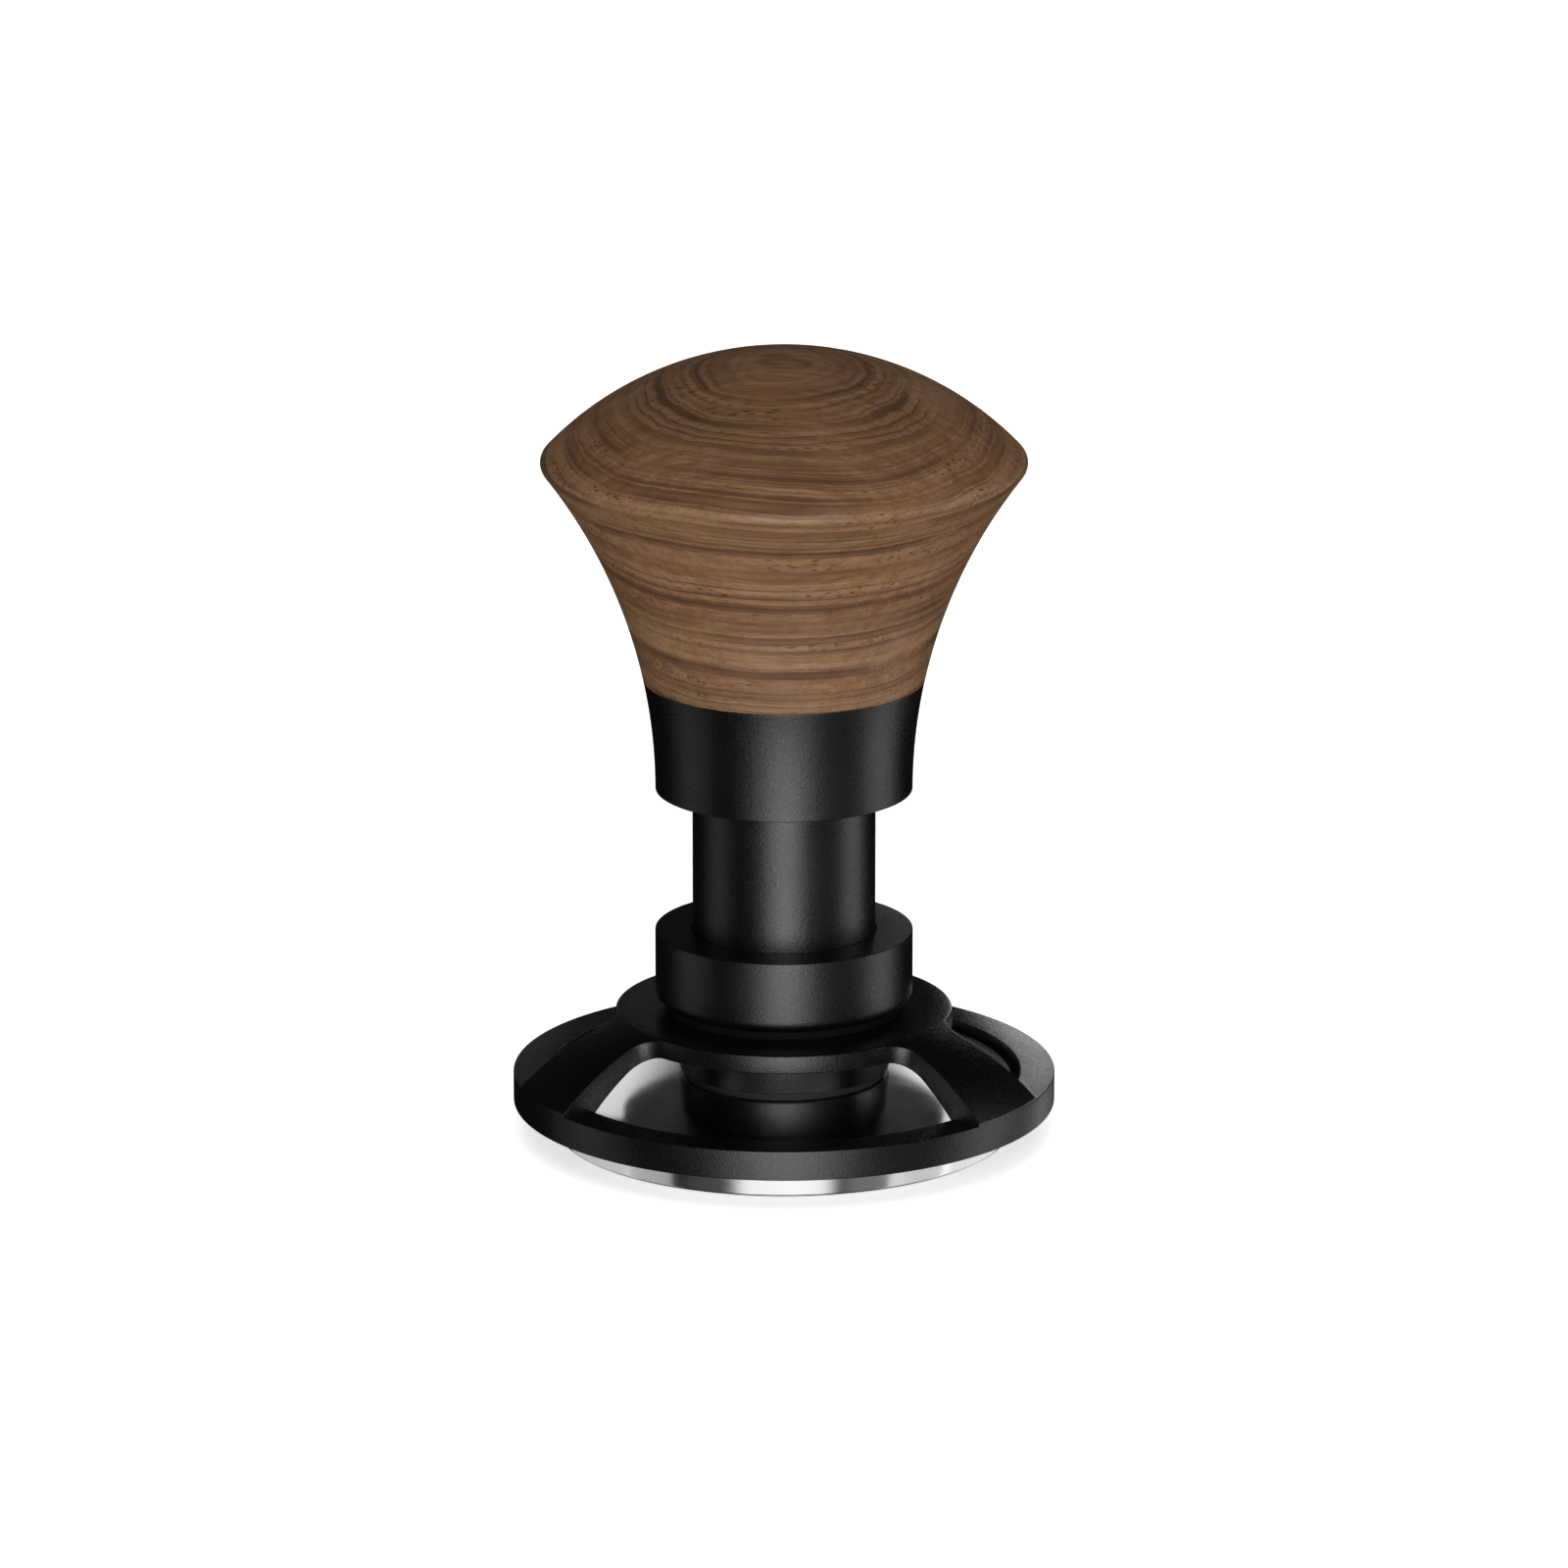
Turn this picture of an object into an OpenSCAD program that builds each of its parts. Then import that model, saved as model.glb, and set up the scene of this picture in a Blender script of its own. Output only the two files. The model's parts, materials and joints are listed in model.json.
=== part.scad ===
// Spring-loaded espresso tamper with a sprung levelling ring.
// Millimetres, +Z up. The origin is the centre of the base's lower face.
//
// Five groups move along the one vertical axis:
//   the plunger: base, stem, piston, preload bolt and both springs
//   the leveller: ring, guide tube, hub collar, with its own thrust seat
//   the handle: knob, insert, collar, with its own thrust seat

/* [Tamping base] */
// Diameter of the polished base
base_d = 58.35; // [57.5:0.05:59]
// Thickness of the base under the stem
base_h = 7.7; // [7.5:0.05:7.8]
// Thickness of the base at its rim
base_rim_h = 6.6; // [5.5:0.1:7]
// Broken edge around the base
base_edge = 0.3; // [0.1:0.05:0.6]

/* [Levelling ring] */
// Outer diameter of the ring
ring_d = 69; // [68:0.5:72]
// Inner diameter of the rim, which the base passes through
ring_bore_d = 60.2; // [59.8:0.1:61.4]
// Height of the rim's resting face above the base's face
ring_rest_z = 3.8; // [2.5:0.1:4.5]
// Height of the rim
ring_rim_h = 3.8; // [3:0.1:4.2]
// Diameter of the central disc
disc_d = 42.8; // [41:0.2:45]
// Thickness of the central disc
disc_h = 2.4; // [2:0.1:2.6]
// Number of arms, and so of windows between them
arm_count = 3; // [3:1:5]
// Width of an arm where it leaves the disc
arm_in_w = 8.8; // [7:0.1:11]
// Width of an arm where it reaches the ring's outside
arm_out_w = 13.3; // [11:0.1:15]
// Radius of the crowned top of the arms, seen from the side
arm_crown_r = 33; // [30:1:45]
// Radius of the fillet between an arm and the disc
disc_fillet_r = 3.6; // [2:0.1:4]

/* [Guide tube and hub] */
// Outer diameter of the guide tube
tube_d = 23.2; // [22.8:0.1:23.4]
// Bore of the guide tube
tube_bore_d = 20.4; // [20.2:0.1:20.8]
// Height of the tube's top end
tube_top_z = 57; // [56:0.1:57.2]
// Diameter of the flange under the disc
flange_d = 26.8; // [26:0.1:30]
// Thickness of the flange under the disc
flange_h = 5.26; // [5:0.02:5.4]
// Diameter of the hub collar
hub_d = 32.72; // [30:0.02:36]
// Height of the hub collar
hub_h = 9.29; // [8.5:0.01:9.6]
// Radius of the rounding around the hub collar's foot
hub_foot_r = 1.7; // [0.5:0.1:2]
// Diameter of the washer clamped under the hub collar
clamp_washer_d = 30; // [28:0.2:31]
// Thickness of the washer clamped under the hub collar
clamp_washer_h = 1.1; // [0.8:0.1:1.2]

/* [Handle] */
// Overall height of the tamper
total_h = 101.1; // [100:0.1:104]
// Height of the handle collar's foot above the base's face
collar_z = 44.76; // [44.5:0.02:45.2]
// Diameter of the handle collar at its foot
collar_d = 32.56; // [31.4:0.02:34]
// Height of the handle collar
collar_h = 14.34; // [14:0.02:14.6]
// Radius of the hollow flare, which runs up from the collar into the knob
flare_r = 68.8; // [66:0.2:74]
// Radius of the knob's dome
dome_r = 41.5; // [40:0.5:44]
// Radius of the rounded edge between the flare and the dome
knob_edge_r = 1.35; // [1:0.05:2]

/* [Plunger] */
// Diameter of the stem
stem_d = 11; // [10:0.1:11.4]
// Height of the stem's top, which the piston sits on
stem_top_z = 33; // [32.5:0.1:33.5]
// Thickness of the piston
piston_h = 5; // [4.5:0.1:5.5]
// Thread diameter of the preload bolt
bolt_d = 5; // [4:0.5:5]
// Length of the preload bolt under its head
bolt_len = 60; // [58:1:61]

/* [Springs] */
// Wire diameter of the return spring
return_wire_d = 0.9; // [0.7:0.1:1]
// Coils in the return spring
return_coils = 5; // [4:1:5]
// Wire diameter of the main spring
main_wire_d = 2; // [1.6:0.1:2]
// Coils in the main spring
main_coils = 9; // [7:1:10]

/* [Travel] */
// How far the leveller rises over the base
level_travel = 10; // [6:0.5:10]
// How far the handle sinks before the main spring is fully pressed
press_travel = 8; // [5:0.5:8]

/* [Hidden] */
$fn = 128;
eps = 0.01;

// Fits: radial running fit, plain clearance, contact between moving faces, thread flanks
running_gap = 0.06;
clear_gap = 0.4;
face_gap = 0.05;
thread_gap = 0.05;
small_edge = 0.25;

// Radii of what is given by its diameter
base_r = base_d / 2;
ring_r = ring_d / 2;
ring_bore_r = ring_bore_d / 2;
disc_r = disc_d / 2;
tube_r = tube_d / 2;
tube_bore_r = tube_bore_d / 2;
hub_r = hub_d / 2;
collar_r = collar_d / 2;
stem_r = stem_d / 2;
bolt_r = bolt_d / 2;

// Base, its boss for the stem's stud, and the washer the leveller lands on
base_flat_r = 13.8;
stud_r = 4;
stud_z = 2.6;
stud_tip_gap = 0.4;
bolt_tip_gap = 1;
bumper_h = 0.5;
bumper_r = 12.9;

// Leveller, from the flange up
tube_z = base_h + bumper_h + face_gap;
disc_z = tube_z + flange_h;
disc_top_z = disc_z + disc_h;
rim_top_z = ring_rest_z + ring_rim_h;
hub_z = disc_top_z + clamp_washer_h;
hub_top_z = hub_z + hub_h;
lip_h = 0.7;
web_h_over_flange = 6.8;
web_top_z = tube_z + web_h_over_flange;
bush_seat_r = 7.5;
bush_flange_r = 9;
bush_flange_h = 1;
oring_section_r = 0.82;
oring_r = stem_r + running_gap + oring_section_r;
oring_slack = 0.1;
stem_bush_z = tube_z + lip_h + 2 * (oring_section_r + oring_slack);
bush_top_z = web_top_z + bush_flange_h;
seat_h = 0.6;
return_seat_z = bush_top_z + face_gap;
return_spring_z = return_seat_z + seat_h + face_gap;
return_spring_r = 7.9;

// Crowned arms: the top runs from just inside the disc's edge to the ring's outside,
// the underside from the disc's lower edge to the rim's inner wall. The arms' ends are sunk
// a little way into the rim, so that the two parts of the ring overlap and don't just touch.
arm_end_h = 0.36;
arm_outer_z = rim_top_z + arm_end_h;
arm_under_r = arm_crown_r - 3;
arm_end_r = ring_r - 0.02;
arm_sink = 0.5;
arm_slope = (arm_out_w - arm_in_w) / 2 / (ring_r - disc_r);
crown_start_r = disc_r - 0.4;
under_end_z = rim_top_z - 0.8;
crown_c = arc_centre([crown_start_r, disc_top_z], [arm_end_r, arm_outer_z], arm_crown_r);
under_c = arc_centre([disc_r, disc_z], [ring_bore_r, under_end_z], arm_under_r);

// Plunger above the stem
piston_top_z = stem_top_z + piston_h;
piston_gap = 0.1;
ring_groove_h = 1.8;
ring_groove_d = 1.1;
ring_groove_z = stem_top_z + (piston_h - ring_groove_h) / 2;
washer_h = 0.8;
main_spring_z = piston_top_z + washer_h;
main_spring_r = 8.5;
nut_flats = 8;
nut_h = 2.7;
bolt_head_r = 4.25;
bolt_head_h = 4.6;
bolt_socket_flats = 4;
bolt_socket_h = 2.6;
bolt_grip = 13;
bolt_z = stem_top_z - bolt_grip;
bolt_seat_z = bolt_z + bolt_len;
bolt_washer_r = 5.5;
bolt_washer_h = 0.95;

// Handle, from the top stop down to the spring seat
damper_h = 1;
web_h = 2.5;
thrust_h = 0.6;
web_top = bolt_seat_z - bolt_washer_h - face_gap - damper_h;
web_z = web_top - web_h;
thrust_z = web_z - thrust_h;
main_seat_h = 1.45;
main_seat_z = thrust_z - face_gap - main_seat_h;
main_seat_r = 9.8;
seat_spigot_r = 7.1;
seat_spigot_h = 1.5;
web_hole_gap = 0.7;
web_hole_r = bolt_r + web_hole_gap;
handle_bore_r = tube_r + clear_gap;
insert_wall = 1.4;
insert_flange_w = 3;
insert_r = handle_bore_r + insert_wall;
insert_flange_r = insert_r + insert_flange_w;
insert_flange_h = 2;
insert_nose_h = 4.1;
collar_top_z = collar_z + collar_h;
wiper_lip_h = 1.3;
wiper_z = collar_z + wiper_lip_h;
wiper_h = 1.6;
groove_land_h = 0.6;
collar_bush_z = wiper_z + wiper_h + groove_land_h;
screw_count = 3;
screw_circle_r = insert_r + insert_flange_w / 2;
screw_head_r = 1.4;
screw_r = 0.85;
screw_len = 8;
chamber_r = 8.5;
chamber_spare_h = 0.8;
chamber_top_z = bolt_seat_z + bolt_head_h + press_travel + chamber_spare_h;

// Knob outline: the edge's centre lies a radius inside the dome and a radius off the flare
dome_c = [0, total_h - dome_r];
flare_c = [collar_r + flare_r, collar_z];
edge_c = circles_meet(dome_c, dome_r - knob_edge_r, flare_c, flare_r + knob_edge_r);
edge_on_dome = dome_c + dome_r * unit(edge_c - dome_c);
edge_on_flare = flare_c + flare_r * unit(edge_c - flare_c);

function unit(v) = v / norm(v);

// Centre of the arc of radius r from p to q that bulges up and outwards
function arc_centre(p, q, r) =
    let (d = q - p, side = unit([d.y, -d.x]))
    (p + q) / 2 + side * sqrt(r * r - d * d / 4);

// The upper one of the two points where two circles cross
function circles_meet(c1, r1, c2, r2) =
    let (d = c2 - c1, along = (r1 * r1 - r2 * r2 + d * d) / (2 * norm(d)),
         off = sqrt(r1 * r1 - along * along), u = unit(d))
    c1 + along * u + off * [-u.y, u.x];

// Height of a spring's wire centre after t coils, closed up at both ends
function coil_z(t, coils, wire, length) =
    let (end_pitch = 1.08 * wire, pitch = (length - wire - 2 * end_pitch) / (coils - 2))
    wire / 2 + min(t, 1) * end_pitch + max(0, min(t - 1, coils - 2)) * pitch
        + max(0, t - coils + 1) * end_pitch;

module turned(outline) {
    rotate_extrude() polygon(outline);
}

// A plain round with a hole, from z0 to z1, its outer edges broken by e
module washer(r_out, r_in, z0, z1, e = 0.1) {
    turned([[r_in, z0], [r_out - e, z0], [r_out, z0 + e], [r_out, z1 - e], [r_out - e, z1], [r_in, z1]]);
}

module drill(r, z0, z1) {
    translate([0, 0, z0]) cylinder(h = z1 - z0, r = r);
}

module hex_prism(flats, z0, z1) {
    translate([0, 0, z0]) cylinder(h = z1 - z0, d = flats / cos(30), $fn = 6);
}

module coil_spring(mean_r, wire, coils, z0, z1) {
    sides = 8;
    steps = 24 * coils;
    points = [for (i = [0:steps], j = [0:sides - 1])
        let (t = coils * i / steps, r = mean_r + wire / 2 * cos(360 * j / sides),
             z = z0 + coil_z(t, coils, wire, z1 - z0) + wire / 2 * sin(360 * j / sides))
        [r * cos(360 * t), r * sin(360 * t), z]];
    skin = [for (i = [0:steps - 1], j = [0:sides - 1])
        let (k = (j + 1) % sides)
        [i * sides + j, i * sides + k, (i + 1) * sides + k, (i + 1) * sides + j]];
    first = [[for (j = [sides - 1:-1:0]) j]];
    last = [[for (j = [0:sides - 1]) steps * sides + j]];
    polyhedron(points, concat(skin, first, last));
}

// ---- Plunger ----

module base() {
    color("silver") difference() {
        turned([[0, 0], [base_r - base_edge, 0], [base_r, base_edge], [base_r, base_rim_h - base_edge],
                [base_r - base_edge, base_rim_h], [base_flat_r, base_h], [0, base_h]]);
        drill(stud_r, stud_z, base_h + 1);
    }
}

module bumper_washer() {
    color("dimgray") washer(bumper_r, stem_r + 0.1, base_h, base_h + bumper_h);
}

module stem() {
    color("lightgray") difference() {
        union() {
            turned([[0, base_h], [stem_r, base_h], [stem_r, stem_top_z - small_edge],
                    [stem_r - small_edge, stem_top_z], [0, stem_top_z]]);
            drill(stud_r - thread_gap, stud_z + stud_tip_gap, base_h + eps);
        }
        drill(bolt_r + thread_gap, bolt_z - bolt_tip_gap, stem_top_z + 1);
    }
}

module piston() {
    r = tube_bore_r - piston_gap;
    color("lightgray") difference() {
        washer(r, bolt_r + piston_gap, stem_top_z, piston_top_z, 0.3);
        washer(r + 1, r - ring_groove_d, ring_groove_z, ring_groove_z + ring_groove_h, 0);
    }
}

module piston_ring() {
    color("ivory") washer(tube_bore_r - running_gap, tube_bore_r - piston_gap - ring_groove_d,
                          ring_groove_z, ring_groove_z + ring_groove_h);
}

module spring_washer() {
    color("lightgray") washer(main_seat_r, nut_flats / 2 + 1, piston_top_z, main_spring_z);
}

module jam_nut() {
    color("silver") difference() {
        hex_prism(nut_flats, piston_top_z, piston_top_z + nut_h);
        drill(bolt_r + thread_gap, piston_top_z - 1, piston_top_z + nut_h + 1);
    }
}

module preload_bolt() {
    head_top = bolt_seat_z + bolt_head_h;
    color("silver") difference() {
        union() {
            turned([[0, bolt_seat_z], [bolt_head_r, bolt_seat_z], [bolt_head_r, head_top - small_edge],
                    [bolt_head_r - small_edge, head_top], [0, head_top]]);
            drill(bolt_r, bolt_z, bolt_seat_z + eps);
        }
        hex_prism(bolt_socket_flats, head_top - bolt_socket_h, head_top + 1);
    }
}

module bolt_washer() {
    color("silver") washer(bolt_washer_r, bolt_r + 0.15, bolt_seat_z - bolt_washer_h, bolt_seat_z);
}

module return_spring() {
    color("gainsboro")
        coil_spring(return_spring_r, return_wire_d, return_coils, return_spring_z, stem_top_z);
}

module main_spring() {
    color("gainsboro")
        coil_spring(main_spring_r, main_wire_d, main_coils, main_spring_z, main_seat_z - face_gap);
}

// ---- Leveller ----

module return_spring_seat() {
    color("silver") washer(tube_bore_r - clear_gap, stem_r + clear_gap,
                           return_seat_z, return_seat_z + seat_h);
}

module guide_tube() {
    edge = small_edge;
    color([0.1, 0.1, 0.1]) turned([
        [stem_r + clear_gap, tube_z], [flange_d / 2 - edge, tube_z], [flange_d / 2, tube_z + edge],
        [flange_d / 2, disc_z], [tube_r, disc_z], [tube_r, tube_top_z - edge], [tube_r - edge, tube_top_z],
        [tube_bore_r, tube_top_z], [tube_bore_r, web_top_z], [bush_seat_r, web_top_z],
        [bush_seat_r, tube_z + lip_h], [stem_r + clear_gap, tube_z + lip_h]]);
}

module stem_bush() {
    bore_r = stem_r + running_gap;
    color([0.2, 0.2, 0.2]) turned([
        [bore_r, stem_bush_z], [bush_seat_r, stem_bush_z], [bush_seat_r, web_top_z],
        [bush_flange_r, web_top_z], [bush_flange_r, bush_top_z], [bore_r, bush_top_z]]);
}

module stem_oring() {
    color([0.15, 0.15, 0.15]) rotate_extrude()
        translate([oring_r, tube_z + lip_h + oring_section_r + 0.1]) circle(r = oring_section_r);
}

// Half-section of the disc and the crowned arms, turned all the way round
module spider_section() {
    edge = small_edge;
    low_z = ring_rest_z + 1;
    sunk_r = ring_bore_r + arm_sink;
    difference() {
        intersection() {
            translate(crown_c) circle(r = arm_crown_r, $fn = 256);
            polygon([[tube_r, low_z], [tube_r, disc_top_z], [arm_end_r - edge, disc_top_z],
                     [arm_end_r - edge, arm_outer_z], [arm_end_r, arm_outer_z - edge], [arm_end_r, low_z]]);
        }
        intersection() {
            union() {
                translate(under_c) circle(r = arm_under_r, $fn = 256);
                square([disc_r, disc_z]);
            }
            square([sunk_r, disc_z]);
        }
    }
}

// One arm's outline, along +X, widening from the disc to the ring's outside
module arm_outline() {
    reach = ring_r + 1;
    out_y = arm_out_w / 2 + arm_slope;
    in_y = arm_in_w / 2 - arm_slope * disc_r;
    polygon([[0, -in_y], [reach, -out_y], [reach, out_y], [0, in_y]]);
}

// The two fillets between the disc and the arm along +X. Their circle is a hair larger than the
// fillet, so that it crosses the disc's and the arm's edge and doesn't just touch them.
module disc_fillets() {
    tilt = atan(arm_slope);
    start_y = arm_in_w / 2 - arm_slope * disc_r;
    centre_r = disc_r + disc_fillet_r;
    centre_a = tilt + asin((start_y * cos(tilt) + disc_fillet_r) / centre_r);
    centre = centre_r * [cos(centre_a), sin(centre_a)];
    on_arm = centre + disc_fillet_r * [sin(tilt), -cos(tilt)];
    on_disc = disc_r * [cos(centre_a), sin(centre_a)];
    corner_a = tilt + asin(start_y * cos(tilt) / disc_r);
    inside = disc_r * [cos(corner_a), sin(corner_a)] - [0.4, 0.4];
    for (m = [0, 1]) mirror([0, m]) difference() {
        polygon([centre, on_arm, inside, on_disc]);
        translate(centre) circle(r = disc_fillet_r + eps, $fn = 64);
    }
}

module spider_outline() {
    circle(r = disc_r);
    for (i = [0:arm_count - 1]) rotate(90 + i * 360 / arm_count) {
        arm_outline();
        disc_fillets();
    }
}

module level_ring() {
    edge = small_edge;
    color([0.12, 0.12, 0.12]) union() {
        intersection() {
            rotate_extrude() spider_section();
            linear_extrude(height = total_h) spider_outline();
        }
        turned([[ring_bore_r + edge, ring_rest_z], [ring_r - edge, ring_rest_z], [ring_r, ring_rest_z + edge],
                [ring_r, rim_top_z - edge], [ring_r - edge, rim_top_z], [ring_bore_r + edge, rim_top_z],
                [ring_bore_r, rim_top_z - edge], [ring_bore_r, ring_rest_z + edge]]);
    }
}

module clamp_washer() {
    color([0.05, 0.05, 0.05]) washer(clamp_washer_d / 2, tube_r, disc_top_z, hub_z);
}

module hub_collar() {
    edge = small_edge;
    color([0.12, 0.12, 0.12]) rotate_extrude() {
        difference() {
            polygon([[tube_r, hub_z], [hub_r, hub_z], [hub_r, hub_top_z - edge],
                     [hub_r - edge, hub_top_z], [tube_r, hub_top_z]]);
            translate([hub_r - hub_foot_r, hub_z]) square(hub_foot_r);
        }
        intersection() {
            translate([hub_r - hub_foot_r, hub_z + hub_foot_r]) circle(r = hub_foot_r, $fn = 64);
            translate([hub_r - hub_foot_r, hub_z]) square(hub_foot_r);
        }
    }
}

// ---- Handle ----

module main_spring_seat() {
    spigot_z = main_seat_z - seat_spigot_h;
    bore_r = bolt_r + clear_gap;
    top_z = main_seat_z + main_seat_h;
    color("silver") turned([
        [bore_r, spigot_z], [seat_spigot_r, spigot_z], [seat_spigot_r, main_seat_z],
        [main_seat_r, main_seat_z], [main_seat_r, top_z], [bore_r, top_z]]);
}

module thrust_washer() {
    color("ivory") washer(main_seat_r, web_hole_r, thrust_z, web_z);
}

module stop_damper() {
    color("dimgray") washer(bolt_washer_r, web_hole_r, web_top, web_top + damper_h);
}

// Everything inside the flare's hollow outline, from z0 to z1
module flared(z0, z1, r_max) {
    difference() {
        translate([0, z0]) square([r_max, z1 - z0]);
        translate(flare_c) circle(r = flare_r, $fn = 256);
    }
}

module handle_collar() {
    edge = small_edge;
    color([0.12, 0.12, 0.12]) rotate_extrude() difference() {
        flared(collar_z, collar_top_z, collar_r + collar_h);
        translate([0, collar_z - 1]) square([handle_bore_r, collar_h + 2]);
        translate([0, wiper_z]) square([insert_r, wiper_h]);
        translate([0, collar_bush_z]) square([insert_r, collar_h]);
        polygon([[collar_r - edge, collar_z], [collar_r + 1, collar_z], [collar_r + 1, collar_z + edge + 1],
                 [collar_r, collar_z + edge]]);
    }
}

module wiper_seal() {
    color([0.15, 0.15, 0.15]) washer(insert_r, tube_r + running_gap, wiper_z, wiper_z + wiper_h);
}

module collar_bush() {
    top_z = collar_top_z - insert_nose_h;
    color("ivory") washer(insert_r, tube_r + running_gap, collar_bush_z, top_z, 0);
}

module place_screws() {
    for (i = [0:screw_count - 1]) rotate(i * 360 / screw_count)
        translate([screw_circle_r, 0, collar_top_z]) children();
}

module screw_body() {
    rotate_extrude($fn = 32) polygon([[0, 0], [screw_head_r, 0], [screw_r, screw_head_r - screw_r],
        [screw_r, screw_len - screw_r], [0, screw_len]]);
}

module knob_insert() {
    flange_top = collar_top_z + insert_flange_h;
    color("silver") difference() {
        turned([
            [handle_bore_r, collar_top_z - insert_nose_h], [insert_r, collar_top_z - insert_nose_h],
            [insert_r, collar_top_z], [insert_flange_r, collar_top_z], [insert_flange_r, flange_top],
            [insert_r, flange_top], [insert_r, web_top], [web_hole_r, web_top],
            [web_hole_r, web_z], [handle_bore_r, web_z]]);
        place_screws() screw_body();
    }
}

module insert_screws() {
    slot_w = 0.4;
    color("silver") place_screws() difference() {
        screw_body();
        for (a = [0, 90]) rotate(a) cube([2 * screw_r, slot_w, 2 * slot_w], center = true);
    }
}

module knob() {
    flange_top = collar_top_z + insert_flange_h;
    color([0.36, 0.24, 0.15]) difference() {
        rotate_extrude() {
            difference() {
                intersection() {
                    flared(collar_top_z, total_h + 1, dome_r);
                    translate(dome_c) circle(r = dome_r, $fn = 256);
                }
                polygon([edge_on_dome, edge_on_flare,
                         edge_on_flare + [dome_r, 0], edge_on_dome + [dome_r, 0]]);
            }
            translate(edge_c) circle(r = knob_edge_r, $fn = 64);
        }
        drill(insert_flange_r, collar_top_z - 1, flange_top);
        drill(insert_r, collar_top_z, web_top);
        drill(chamber_r, web_top - eps, chamber_top_z);
        place_screws() screw_body();
    }
}

base();
bumper_washer();
stem();
piston();
piston_ring();
spring_washer();
jam_nut();
preload_bolt();
bolt_washer();
return_spring();
main_spring();
return_spring_seat();
guide_tube();
level_ring();
clamp_washer();
hub_collar();
stem_bush();
stem_oring();
main_spring_seat();
handle_collar();
wiper_seal();
collar_bush();
knob_insert();
insert_screws();
thrust_washer();
stop_damper();
knob();
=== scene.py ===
import json
import math

import bmesh
import bpy
from mathutils import Matrix, Quaternion, Vector


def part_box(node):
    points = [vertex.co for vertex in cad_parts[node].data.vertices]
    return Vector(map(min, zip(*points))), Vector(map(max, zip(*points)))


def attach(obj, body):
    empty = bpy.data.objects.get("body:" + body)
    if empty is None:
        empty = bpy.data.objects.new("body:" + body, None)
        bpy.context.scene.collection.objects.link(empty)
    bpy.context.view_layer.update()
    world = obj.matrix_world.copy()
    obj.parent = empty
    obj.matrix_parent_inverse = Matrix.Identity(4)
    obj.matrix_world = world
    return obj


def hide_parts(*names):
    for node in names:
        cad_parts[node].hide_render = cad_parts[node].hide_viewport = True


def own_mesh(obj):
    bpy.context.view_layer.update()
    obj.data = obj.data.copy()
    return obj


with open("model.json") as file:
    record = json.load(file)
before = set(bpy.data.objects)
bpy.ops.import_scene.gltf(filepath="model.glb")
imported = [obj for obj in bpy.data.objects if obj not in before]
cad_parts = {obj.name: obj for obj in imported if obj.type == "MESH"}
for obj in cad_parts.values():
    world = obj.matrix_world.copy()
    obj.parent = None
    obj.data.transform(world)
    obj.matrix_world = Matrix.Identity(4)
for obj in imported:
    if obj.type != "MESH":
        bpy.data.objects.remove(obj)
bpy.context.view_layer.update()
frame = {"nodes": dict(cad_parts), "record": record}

# Espresso tamper: a turned walnut knob, bead-blasted black aluminium and a mirror-polished base.
# Metres, +Z up, origin at the centre of the base's lower face. The turned pieces are remade here
# as fine lathes of their CAD nodes, with the same size and place, and the levelling ring is remade
# from its section and the outline of its arms. The nut, the bolt, the screws, the main spring's
# seat, the knob's insert, the stem's bush and its O-ring keep their CAD meshes.

MM = 0.001
TURN_STEPS = 288          # segments round a lathe
SMALL_STEPS = 144         # segments round a small one
ARC_STEPS = 6             # segments round a small broken edge
NODES = frame["nodes"]
BODIES = frame["record"]["behaviour"]["bodies"]
SLOT_OF = {s["node"]: s["material_slot"] for s in frame["record"]["subparts"]}


# ---------------------------------------------------------------- sizes, from the frame

def radius(node):
    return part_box(node)[1].x


def bottom(node):
    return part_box(node)[0].z


def top(node):
    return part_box(node)[1].z


BASE_R = radius("base")
RING_R = radius("level_ring")
RING_BORE_R = 30.1 * MM
RIM_TOP = bottom("level_ring") + 3.8 * MM
DISC_R = 21.4 * MM
DISC_TOP = top("level_ring")
DISC_UNDER = DISC_TOP - 2.4 * MM
TUBE_R = 11.6 * MM
HUB_R = radius("hub_collar")
COLLAR_FOOT_R = 16.28 * MM
KNOB_TOP = top("knob")
DOME_R = 41.5 * MM
FLARE_R = 68.8 * MM
KNOB_EDGE_R = 1.35 * MM
ARM_COUNT = 3
ARM_IN_W, ARM_OUT_W = 8.8 * MM, 13.3 * MM
ARM_CROWN_R = 33 * MM
DISC_FILLET_R = 3.6 * MM
LEVEL_TRAVEL, PRESS_TRAVEL = 10 * MM, 8 * MM
SOFT_EDGE = 0.14 * MM     # broken edges of the black parts
PISTON_GROOVE_R = 9 * MM


# ---------------------------------------------------------------- mesh helpers

def arc(centre, r, a0, a1, steps):
    """Points on a circle in the (r, z) plane, from angle a0 to a1 in degrees."""
    angles = [math.radians(a0 + (a1 - a0) * i / steps) for i in range(steps + 1)]
    return [(centre[0] + r * math.cos(a), centre[1] + r * math.sin(a)) for a in angles]


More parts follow.
